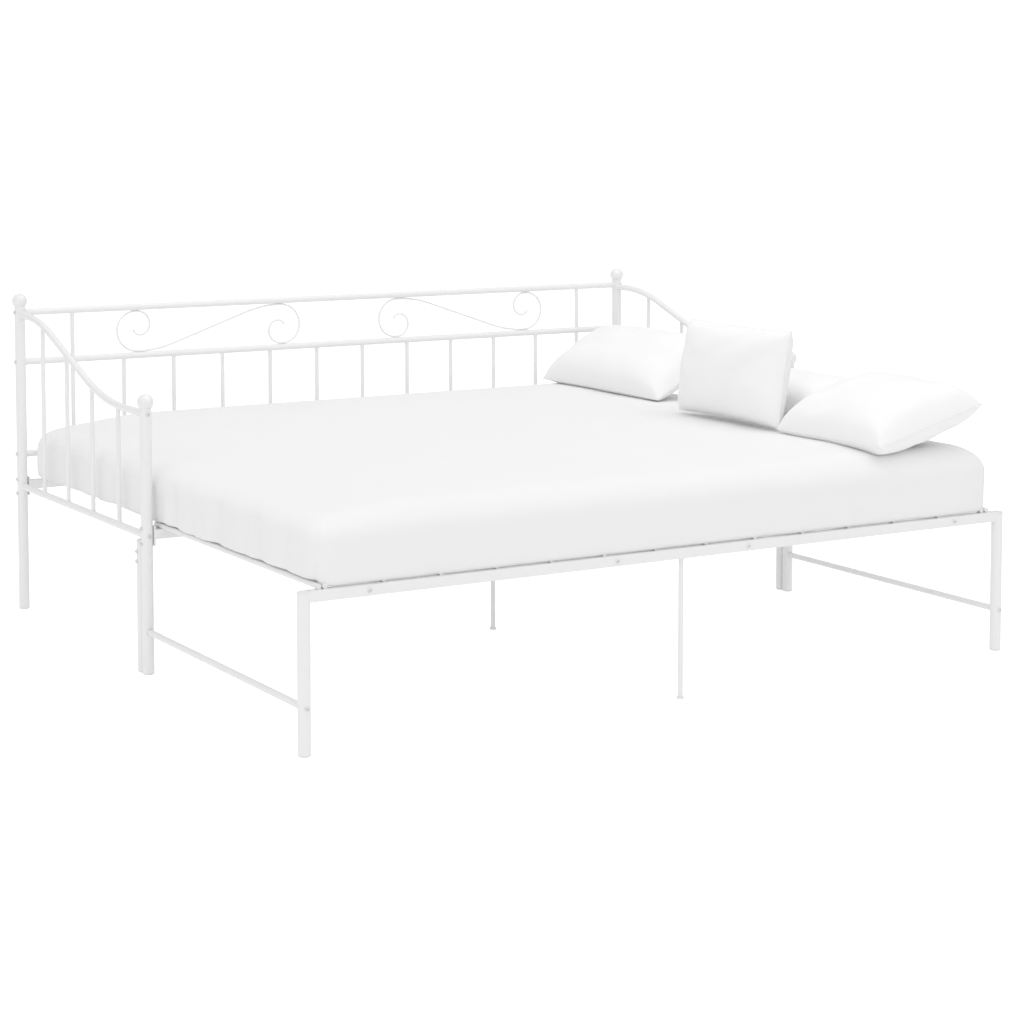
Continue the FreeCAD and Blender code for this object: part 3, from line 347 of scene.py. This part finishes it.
# ---------------------------------------------------------------- mesh helpers
@dataclass
class Shell:
    """Closed quad surface on a box lattice."""

    points: np.ndarray
    lattice: np.ndarray
    faces: list[tuple[int, int, int, int]]

    @classmethod
    def on_lattice(cls, xs: np.ndarray, ys: np.ndarray, zs: np.ndarray) -> "Shell":
        """Outer surface of a lattice box.

        Args:
            xs: Rising places along X.
            ys: Rising places along Y.
            zs: Rising places along Z.

        Returns:
            The shell, with each point's lattice numbers.
        """
        counts = (len(xs), len(ys), len(zs))
        index = np.full(counts, -1, int)
        grid = np.stack(np.meshgrid(*(np.arange(c) for c in counts), indexing="ij"), -1)
        edge = np.zeros(counts, bool)
        for axis, count in enumerate(counts):
            edge |= (grid[..., axis] == 0) | (grid[..., axis] == count - 1)
        index[edge] = np.arange(edge.sum())
        lattice = grid[edge]
        points = np.stack([xs[lattice[:, 0]], ys[lattice[:, 1]], zs[lattice[:, 2]]], -1)
        faces = []
        for axis in range(3):
            for end in (0, counts[axis] - 1):
                side = np.take(index, end, axis=axis)
                # faces on the low end, and on Y's high end, run the other way round
                flip = (end == 0) != (axis == 1)
                quads = np.stack([side[:-1, :-1], side[1:, :-1], side[1:, 1:], side[:-1, 1:]], -1)
                quads = quads.reshape(-1, 4)
                faces += [tuple(q[::-1] if flip else q) for q in quads.tolist()]
        return cls(points.astype(float), lattice, faces)

    def to_object(self, name: str, finish: Finish, levels: int = 0) -> bpy.types.Object:
        """Make a smooth object of the shell.

        Args:
            name: Object's name.
            finish: Its finish.
            levels: Levels of subdivision to apply.

        Returns:
            The object, in the scene.
        """
        mesh = bpy.data.meshes.new(name)
        mesh.from_pydata(self.points.tolist(), [], self.faces)
        mesh.materials.append(finish.material())
        piece = bpy.data.objects.new(name, mesh)
        bpy.context.scene.collection.objects.link(piece)
        if levels:
            smooth = piece.modifiers.new("smooth", "SUBSURF")
            smooth.levels = levels
            apply_modifiers(piece)
        piece.data.polygons.foreach_set("use_smooth", [True] * len(piece.data.polygons))
        return piece


def apply_modifiers(piece: bpy.types.Object) -> None:
    """Replace an object's mesh with its evaluated one and drop its modifiers.

    Args:
        piece: Mesh object.
    """
    graph = bpy.context.evaluated_depsgraph_get()
    mesh = bpy.data.meshes.new_from_object(piece.evaluated_get(graph))
    piece.modifiers.clear()
    piece.data = mesh


def smooth_step(value: np.ndarray, low: float, high: float) -> np.ndarray:
    """Rise from 0 to 1 between two values.

    Args:
        value: Values.
        low: Where the rise starts.
        high: Where it ends.

    Returns:
        The smooth steps.
    """
    t = np.clip((value - low) / (high - low), 0.0, 1.0)
    return t * t * (3.0 - 2.0 * t)


def graded(half: float, coarse: float, fine: float, border: float) -> np.ndarray:
    """Places from -half to half, closer together near the ends.

    Args:
        half: Half the length.
        coarse: Step in the middle.
        fine: Step near the ends.
        border: Length of each fine stretch.

    Returns:
        Rising places.
    """
    inner = half - border
    middle = np.linspace(-inner, inner, 2 * round(inner / coarse) + 1)
    rim = np.linspace(inner, half, round(border / fine) + 1)[1:]
    return np.concatenate([-rim[::-1], middle, rim])


def soft_noise(points: np.ndarray, scale: float, shift: float) -> np.ndarray:
    """Smooth noise about zero at each point.

    Args:
        points: N by 3 places in metres.
        scale: Waves per metre.
        shift: Offset that makes each use different.

    Returns:
        One value for each point, within about one either way.
    """
    offset = Vector((shift, 2.0 * shift, -shift))
    return np.array([noise.noise(Vector(p) * scale + offset) for p in points])


def soften(piece: bpy.types.Object) -> None:
    """Attach a padded piece to the daybed, which it rides on, and give it a mesh of its own.

    Args:
        piece: Mattress or pillow.
    """
    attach(piece, DAYBED)
    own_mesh(piece)


# ---------------------------------------------------------------- frame
@dataclass
class SteelFrame:
    """Posts, rails, scrolls, slats, pull-out and bolts: the CAD nodes and their finishes."""

    finishes: dict = field(default_factory=lambda: {
        "white_paint": POWDER_COAT,
        "finial_gloss": GLOSS_BALL,
        "cap_plastic": CAP_PLASTIC,
        "bolt_steel": BOLT_STEEL,
        "insert_steel": INSERT_STEEL,
    })

    def dress(self) -> None:
        """Give each CAD node the finish of its slot."""
        for part in frame["record"]["subparts"]:
            finish = self.finishes.get(part["material_slot"])
            if finish is None:
                continue
            for slot in frame["nodes"][part["node"]].material_slots:
                slot.material = finish.material()
        LOG.info("frame: %d finishes on the CAD nodes", len(self.finishes))


# ---------------------------------------------------------------- mattress
@dataclass
class Fold:
    """Soft upright crease in the mattress's side."""

    place: float
    width: float
    depth: float
    lean: float


@dataclass
class Mattress:
    """Double mattress in a loose cotton cover, softly rounded and a little uneven."""

    top_round: float = 0.074
    bottom_round: float = 0.011
    lip_width: float = 0.018
    edge_gap: float = 0.0006
    corner_round: float = 0.048
    belly: float = 0.008
    coarse_cell: float = 0.024
    fine_cell: float = 0.0095
    border: float = 0.16
    edge_reach: float = 0.06
    end_drop: float = 0.032
    side_drop: float = 0.014
    far_share: float = 0.4
    back_share: float = 0.3
    left_reach: float = 0.38
    right_reach: float = 0.30
    front_reach: float = 0.26
    back_reach: float = 0.22
    drop_start: float = -0.02
    ripple: float = 0.0035
    fill: float = 0.85

    def build(self) -> bpy.types.Object:
        """Build the mattress in the space of its CAD solid.

        Returns:
            The mattress.
        """
        low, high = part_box("mattress")
        middle = (np.array(low) + np.array(high)) / 2
        half = (np.array(high) - np.array(low)) / 2
        xs = graded(half[0], self.coarse_cell, self.fine_cell, self.border)
        ys = graded(half[1], self.coarse_cell, self.fine_cell, self.border)
        zs = np.linspace(-half[2], half[2], round(2 * half[2] / self.fine_cell))
        shell = Shell.on_lattice(xs, ys, zs)
        rest_on = {-1: "pull_out_side_rails", -2: "pull_out_front_rail"}
        lips = {side: low.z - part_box(rail)[1].z - self.edge_gap for side, rail in rest_on.items()}
        shell.points = self.form(shell.points, half, lips) + middle
        piece = shell.to_object("mattress_cover", MATTRESS_COTTON, levels=1)
        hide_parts("mattress")
        soften(piece)
        LOG.info("mattress: %d faces", len(piece.data.polygons))
        return piece

    def form(self, box: np.ndarray, half: np.ndarray, lips: dict[int, float]) -> np.ndarray:
        """Bend a box's surface to the mattress's shape.

        Args:
            box: Surface points of a sharp box about its middle.
            half: Half its sizes.
            lips: How far the cover's lower edge hangs to its rail, on the left (-1) and front (-2).

        Returns:
            The mattress's surface points about the same middle.
        """
        hx, hy = half[0] - self.belly, half[1] - self.belly
        hz = half[2]
        u = box[:, 0] / half[0]
        v = box[:, 1] / half[1]
        ring = np.maximum(np.maximum(abs(u), abs(v)), 1e-6)
        rim = np.stack([u / ring * hx, v / ring * hy], -1)
        inner = np.stack([
            np.clip(rim[:, 0], -(hx - self.corner_round), hx - self.corner_round),
            np.clip(rim[:, 1], -(hy - self.corner_round), hy - self.corner_round),
        ], -1)
        away = rim - inner
        reach = np.maximum(np.linalg.norm(away, axis=1), 1e-9)
        rim = inner + away * (self.corner_round / reach)[:, None]

        across = np.where(abs(u) >= abs(v), hx, hy)
        inset = (1.0 - ring) * across
        z = box[:, 2].copy()
        radius = np.where(z > 0, self.top_round, self.bottom_round)
        keep_in = np.maximum(inset, radius)
        keep_z = np.sign(z) * np.minimum(abs(z), hz - radius)
        out_in = inset - keep_in
        out_z = z - keep_z
        corner = np.hypot(out_in, out_z)
        rounded = (corner > 1e-9) & (out_in < 0) & (out_z != 0)
        scale = np.where(rounded, radius / np.maximum(corner, 1e-9), 1.0)
        inset = keep_in + out_in * scale
        z = keep_z + out_z * scale

        plan = rim * (1.0 - inset / across)[:, None]
        normal = away / reach[:, None]
        near = np.exp(-np.maximum(inset, 0) / self.edge_reach)
        bulge = self.belly * (1.0 - np.maximum(z / hz, 0.0) ** 2)
        along = np.where(abs(u) >= abs(v), v * half[1], u * half[0])
        side = np.where(abs(u) >= abs(v), np.sign(u), 2 * np.sign(v))
        fold = self.folds(along, side, z / hz)
        push = (bulge - fold) * near
        x = plan[:, 0] + normal[:, 0] * push
        y = plan[:, 1] + normal[:, 1] * push

        rise = (z + hz) / (2 * hz)
        end = 1.0 - smooth_step(hx + x, self.drop_start, self.left_reach)
        far_end = 1.0 - smooth_step(hx - x, self.drop_start, self.right_reach)
        front = 1.0 - smooth_step(hy + y, self.drop_start, self.front_reach)
        back = 1.0 - smooth_step(hy - y, self.drop_start, self.back_reach)
        drop = self.end_drop * end + self.far_share * self.end_drop * far_end
        drop = np.maximum(drop, self.side_drop * np.maximum(front, self.back_share * back))
        flat = np.stack([x, y, np.zeros_like(x)], -1)
        waves = soft_noise(flat, 2.6, 3.1) * self.ripple + soft_noise(flat, 7.0, 8.7) * 0.4 * self.ripple
        z = z - (drop + 0.6 * abs(waves) - 0.4 * waves) * rise**2
        low = (1.0 - rise) ** 2
        z = z + self.lift(along, side) * near * low
        hang = np.select([side == number for number in lips], list(lips.values()), 0.0)
        hang = hang * (1.0 - smooth_step(inset, 0.7 * self.lip_width, self.lip_width))
        z = z - hang * smooth_step(1.0 - rise, 0.5, 0.9)
        return np.stack([x, y, z], -1)

    def folds(self, along: np.ndarray, side: np.ndarray, height: np.ndarray) -> np.ndarray:
        """Depth of the side's soft creases.

        Args:
            along: Place along the side, in metres from its middle.
            side: Which side: -1 left, 1 right, -2 front, 2 back.
            height: Height from -1 at the bottom to 1 at the top.

        Returns:
            How far in each point is pulled, in metres.
        """
        deep = np.zeros_like(along)
        for number, counts in ((-1, 15), (1, 11), (-2, 9), (2, 9)):
            rng = np.random.default_rng(40 + number)
            reach = 0.9 if abs(number) == 1 else 0.98
            strength = 1.35 if number == -1 else 0.5
            for place in np.linspace(-reach, reach, counts):
                fold = Fold(
                    place + rng.uniform(-0.045, 0.045),
                    rng.uniform(0.010, 0.030),
                    rng.uniform(0.003, 0.0110) * strength,
                    rng.uniform(-0.03, 0.03),
                )
                middle = fold.place + fold.lean * height
                shape = np.exp(-(((along - middle) / fold.width) ** 2))
                deep += np.where(side == number, fold.depth * shape, 0.0)
        fade = smooth_step(1.0 - height, 0.05, 0.9)
        slow = soft_noise(np.stack([along, side, height * 0.1], -1), 4.0, 5.5)
        return deep * fade + 0.003 * (1.0 + slow) * smooth_step(1.0 - height, 0.3, 1.6)

    def lift(self, along: np.ndarray, side: np.ndarray) -> np.ndarray:
        """How far the lower edge stands off its rail.

        Args:
            along: Place along the side.
            side: Which side.

        Returns:
            Lift in metres.
        """
        strength = np.where(side == -1, 0.004, np.where(side == -2, 0.001, 0.010))
        slow = soft_noise(np.stack([along, side * 3.0, np.zeros_like(along)], -1), 5.0, 1.7)
        return strength * np.clip(0.35 + 1.5 * slow, 0.0, 1.0)


# ---------------------------------------------------------------- pillows
@dataclass
class Pillow:
    """Stuffed pillow in a plain cotton case, blown up by a short cloth simulation.

    It lies on the underside of its CAD block, whose width, tilt and edge rounding it shares.
    """

    node: str
    length: float
    width: float
    thickness: float
    tilt: float
    seed: int
    seam_height: float
    above_seam: float = 0.5
    block_round: float = 0.040
    cell: float = 0.011
    pull_in: float = 0.035
    fullness: float = 3.2
    pressure: float = 3.0
    frames: int = 16
    fill: float = 0.6
    seam_radius: float = 0.0016
    rim_share: float = 0.06
    bump_share: float = 0.12
    cloth_mass: float = 0.15
    stretch_stiffness: float = 30.0
    shear_stiffness: float = 12.0
    bending_stiffness: float = 0.8

    def build(self, bed: BVHTree) -> bpy.types.Object:
        """Build the pillow in the space of its CAD solid.

        Args:
            bed: Mattress that it rests on.

        Returns:
            The pillow.
        """
        shell, rim = self.flat_case()
        piece = shell.to_object(f"{self.node}_case", PILLOW_COTTON)
        self.blow_up(piece, rim)
        smooth = piece.modifiers.new("smooth", "SUBSURF")
        smooth.levels = 1
        corners = [piece.data.vertices[i].co.copy() for i in rim]
        apply_modifiers(piece)
        piece.data.polygons.foreach_set("use_smooth", [True] * len(piece.data.polygons))
        turn, offset = self.pose(piece)
        piece.data.transform(offset @ turn)
        seam = self.seam([offset @ turn @ c for c in corners])
        self.rest(piece, bed)
        self.rest(seam, bed)
        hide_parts(self.node)
        soften(piece)
        soften(seam)
        LOG.info("%s: %d faces", self.node, len(piece.data.polygons))
        return piece

    def flat_case(self) -> tuple[Shell, list[int]]:
        """Make the sewn case before it is filled.

        Returns:
            A flattened closed shell, and the numbers of the points along its seam in order.
        """
        half = (self.width / 2, self.length / 2)
        xs = np.linspace(-half[0], half[0], 2 * round(half[0] / self.cell) + 1)
        ys = np.linspace(-half[1], half[1], 2 * round(half[1] / self.cell) + 1)
        shell = Shell.on_lattice(xs, ys, np.array([-1.0, 0.0, 1.0]))
        u = shell.points[:, 0] / half[0]
        v = shell.points[:, 1] / half[1]
        body = (1 - abs(u) ** self.fullness) * (1 - abs(v) ** (self.fullness + 1.0))
        thick = self.thickness / 2 * (self.rim_share + (1 - self.rim_share) * np.maximum(body, 0) ** 0.5)
        bumps = soft_noise(np.stack([u, v, np.full_like(u, self.seed)], -1), 2.3, self.seed * 1.7)
        shell.points[:, 2] *= thick * (1 + self.bump_share * bumps)
        shell.points[:, 0] *= 1 - self.pull_in * (1 - v**2)
        shell.points[:, 1] *= 1 - self.pull_in * (1 - u**2)
        middle = np.where(shell.lattice[:, 2] == 1)[0]
        turn = np.arctan2(shell.points[middle, 1] / half[1], shell.points[middle, 0] / half[0])
        return shell, middle[np.argsort(turn)].tolist()

    def blow_up(self, piece: bpy.types.Object, rim: list[int]) -> None:
        """Fill the case by cloth pressure with its seam held, and apply the result.

        Args:
            piece: Flattened case.
            rim: Numbers of the points along its seam.
        """
        held = piece.vertex_groups.new(name="seam")
        held.add(rim, 1.0, "REPLACE")
        cloth = piece.modifiers.new("cloth", "CLOTH")
        cloth.settings.vertex_group_mass = held.name
        cloth.settings.use_pressure = True
        cloth.settings.uniform_pressure_force = self.pressure
        cloth.settings.effector_weights.gravity = 0.0
        cloth.settings.quality = 6
        cloth.settings.mass = self.cloth_mass
        cloth.settings.tension_stiffness = self.stretch_stiffness
        cloth.settings.compression_stiffness = self.stretch_stiffness
        cloth.settings.shear_stiffness = self.shear_stiffness
        cloth.settings.bending_stiffness = self.bending_stiffness
        cloth.point_cache.frame_start = 1
        cloth.point_cache.frame_end = self.frames
        scene = bpy.context.scene
        for step in range(1, self.frames + 1):
            scene.frame_set(step)
        apply_modifiers(piece)
        scene.frame_set(1)

    def pose(self, piece: bpy.types.Object) -> tuple[Matrix, Matrix]:
        """Settle the filling, and give the turn and place that bring the pillow into its CAD block.

        Args:
            piece: Filled pillow about its own middle.

        Returns:
            The turn, with any change of size, and the move.
        """
        for vertex in piece.data.vertices:
            vertex.co.z *= 2 * (self.above_seam if vertex.co.z > 0 else 1 - self.above_seam)
        points = np.array([v.co for v in piece.data.vertices])
        size = points.max(0) - points.min(0)
        fit = Matrix.Diagonal((
            self.width / size[0], self.length / size[1], self.thickness / size[2], 1.0,
        ))
        turn = Matrix.Rotation(math.radians(-self.tilt), 4, "Y") @ fit
        return turn, Matrix.Translation(self.seam_middle())

    def seam_middle(self) -> Vector:
        """Middle of the seam's plane, worked out from the box of the tilted CAD block.

        Returns:
            The place, above the middle of the block's underside.
        """
        low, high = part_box(self.node)
        cosine, sine = math.cos(math.radians(self.tilt)), math.sin(math.radians(self.tilt))
        flat_half = self.width / 2 - self.block_round
        under_x = high.x - self.block_round - flat_half * cosine + self.block_round * sine
        under_z = low.z + self.block_round + flat_half * sine - self.block_round * cosine
        up = Vector((-sine, 0.0, cosine)) * self.seam_height
        return Vector((under_x, (low.y + high.y) / 2, under_z)) + up

    def rest(self, piece: bpy.types.Object, bed: BVHTree) -> None:
        """Flatten what would sink into the mattress or press through the end panel.

        Args:
            piece: Pillow or its seam, in place.
            bed: Mattress that it rests on.
        """
        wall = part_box("mattress")[1].x - MILLIMETRE
        for vertex in piece.data.vertices:
            vertex.co.x = min(vertex.co.x, wall)
            hit = bed.ray_cast(Vector((vertex.co.x, vertex.co.y, 1.0)), Vector((0, 0, -1)))[0]
            if hit:
                vertex.co.z = max(vertex.co.z, hit.z + 0.5 * MILLIMETRE)

    def seam(self, points: list[Vector]) -> bpy.types.Object:
        """Fine rolled seam round the case.

        Args:
            points: Seam's points in order, in place.

        Returns:
            The seam.
        """
        curve = bpy.data.curves.new(f"{self.node}_seam_line", "CURVE")
        curve.dimensions = "3D"
        curve.bevel_depth = self.seam_radius
        curve.bevel_resolution = 2
        spline = curve.splines.new("POLY")
        spline.points.add(len(points) - 1)
        spline.use_cyclic_u = True
        for target, source in zip(spline.points, points):
            target.co = (*source, 1.0)
        line = bpy.data.objects.new(f"{self.node}_seam", curve)
        bpy.context.scene.collection.objects.link(line)
        graph = bpy.context.evaluated_depsgraph_get()
        mesh = bpy.data.meshes.new_from_object(line.evaluated_get(graph))
        bpy.data.objects.remove(line)
        mesh.materials.clear()
        mesh.materials.append(SEAM_THREAD.material())
        piece = bpy.data.objects.new(f"{self.node}_seam", mesh)
        bpy.context.scene.collection.objects.link(piece)
        piece.data.polygons.foreach_set("use_smooth", [True] * len(piece.data.polygons))
        return piece


# ---------------------------------------------------------------- studio
@dataclass(frozen=True)
class Lamp:
    """Square soft light that points at the bed."""

    name: str
    place: tuple[float, float, float]
    size: float
    power: float


@dataclass
class Studio:
    """White studio with soft light, and the camera."""

    camera_place: tuple[float, float, float] = (-3.3287, -5.6725, 1.4566)
    heading: float = 30.926
    pitch: float = 4.5
    lens: float = 84.52
    shift_up: float = -0.2159
    floor_size: float = 60.0
    floor_glow: float = 0.72
    floor_bounce: float = 0.42
    room_seen: float = 1.05
    room_low: float = 0.38
    room_high: float = 0.92
    brightest_way: tuple[float, float, float] = (-0.22, -0.34, 0.91)
    aim: tuple[float, float, float] = (0.0, 0.0, 0.4)
    lamps: tuple[Lamp, ...] = (
        Lamp("overhead", (0.3, -0.5, 4.4), 4.5, 46.0),
        Lamp("key", (2.4, -3.6, 4.6), 3.6, 11.0),
        Lamp("fill", (-4.6, -3.0, 2.6), 3.0, 17.0),
    )

    def camera(self) -> None:
        """Set the camera to the left of the bed's front, a little above it."""
        data = bpy.data.cameras.new("camera")
        data.lens = self.lens
        data.shift_y = self.shift_up
        data.clip_end = 200.0
        camera = bpy.data.objects.new("camera", data)
        camera.location = self.camera_place
        camera.rotation_euler = (
            math.radians(90.0 - self.pitch), 0.0, math.radians(-self.heading),
        )
        bpy.context.scene.collection.objects.link(camera)
        bpy.context.scene.camera = camera

    def floor(self) -> None:
        """Lay a plain pale floor."""
        half = self.floor_size / 2
        mesh = bpy.data.meshes.new("studio_floor")
        corners = [(-half, -half, 0), (half, -half, 0), (half, half, 0), (-half, half, 0)]
        mesh.from_pydata(corners, [], [(0, 1, 2, 3)])
        material = bpy.data.materials.new("pale_floor")
        material.use_nodes = True
        graph = Graph(material.node_tree)
        out = graph.add("ShaderNodeOutputMaterial")
        shader = graph.add(
            "ShaderNodeBsdfPrincipled",
            Base_Color=(0.6, 0.6, 0.6, 1.0),
            Roughness=0.9,
            Emission_Color=(1.0, 1.0, 1.0, 1.0),
        )
        path = graph.add("ShaderNodeLightPath")
        glow = graph.add("ShaderNodeMapRange")
        glow.inputs["To Min"].default_value = self.floor_bounce
        glow.inputs["To Max"].default_value = self.floor_glow
        graph.join(path, "Is Camera Ray", glow, "Value")
        graph.join(glow, "Result", shader, "Emission Strength")
        graph.join(shader, 0, out, "Surface")
        mesh.materials.append(material)
        floor = bpy.data.objects.new("studio_floor", mesh)
        bpy.context.scene.collection.objects.link(floor)

    def light(self) -> None:
        """Light the bed from a white room that is brightest above, and with three soft lamps."""
        scene = bpy.context.scene
        scene.view_settings.view_transform = "Standard"
        world = bpy.data.worlds.new("white_room")
        world.use_nodes = True
        scene.world = world
        graph = Graph(world.node_tree)
        out = graph.add("ShaderNodeOutputWorld")
        seen = graph.add("ShaderNodeBackground", Color=(1.0, 1.0, 1.0, 1.0), Strength=self.room_seen)
        room = graph.add("ShaderNodeBackground", Color=(1.0, 1.0, 1.0, 1.0))
        place = graph.add("ShaderNodeTexCoord")
        facing = graph.add("ShaderNodeVectorMath", {"operation": "DOT_PRODUCT"})
        facing.inputs[1].default_value = Vector(self.brightest_way).normalized()
        graph.join(place, "Generated", facing, 0)
        strength = graph.add("ShaderNodeMapRange", From_Min=-1.0, From_Max=1.0)
        strength.inputs["To Min"].default_value = self.room_low
        strength.inputs["To Max"].default_value = self.room_high
        graph.join(facing, "Value", strength, "Value")
        graph.join(strength, "Result", room, "Strength")
        path = graph.add("ShaderNodeLightPath")
        mix = graph.add("ShaderNodeMixShader")
        graph.join(path, "Is Camera Ray", mix, 0)
        graph.join(room, 0, mix, 1)
        graph.join(seen, 0, mix, 2)
        graph.join(mix, 0, out, "Surface")
        for lamp in self.lamps:
            data = bpy.data.lights.new(lamp.name, "AREA")
            data.size = lamp.size
            data.energy = lamp.power
            light = bpy.data.objects.new(lamp.name, data)
            light.location = lamp.place
            facing_bed = Vector(self.aim) - Vector(lamp.place)
            light.rotation_euler = facing_bed.to_track_quat("-Z", "Y").to_euler()
            scene.collection.objects.link(light)

    def build(self) -> None:
        """Set up camera, floor and lights."""
        self.camera()
        self.floor()
        self.light()
        LOG.info("studio: camera, floor and lights")


# ---------------------------------------------------------------- the whole bed
PILLOWS = (
    Pillow("pillow_back", 0.650, 0.295, 0.150, 28.5, seed=3, seam_height=0.008, above_seam=0.62),
    Pillow("pillow_upright", 0.470, 0.264, 0.130, 81.0, seed=5, seam_height=0.060),
    Pillow("pillow_flat", 0.470, 0.250, 0.135, 6.0, seed=8, seam_height=0.034, above_seam=0.60),
    Pillow("pillow_front", 0.435, 0.354, 0.172, 15.0, seed=12, seam_height=0.010, above_seam=0.60),
)


def main() -> None:
    """Build the bed's looks in order."""
    logging.basicConfig(level=logging.INFO, format="%(name)s: %(message)s")
    Studio().build()
    SteelFrame().dress()
    mattress = Mattress().build()
    bed = BVHTree.FromObject(mattress, bpy.context.evaluated_depsgraph_get())
    for pillow in PILLOWS:
        pillow.build(bed)


if __name__ == "__main__":
    main()
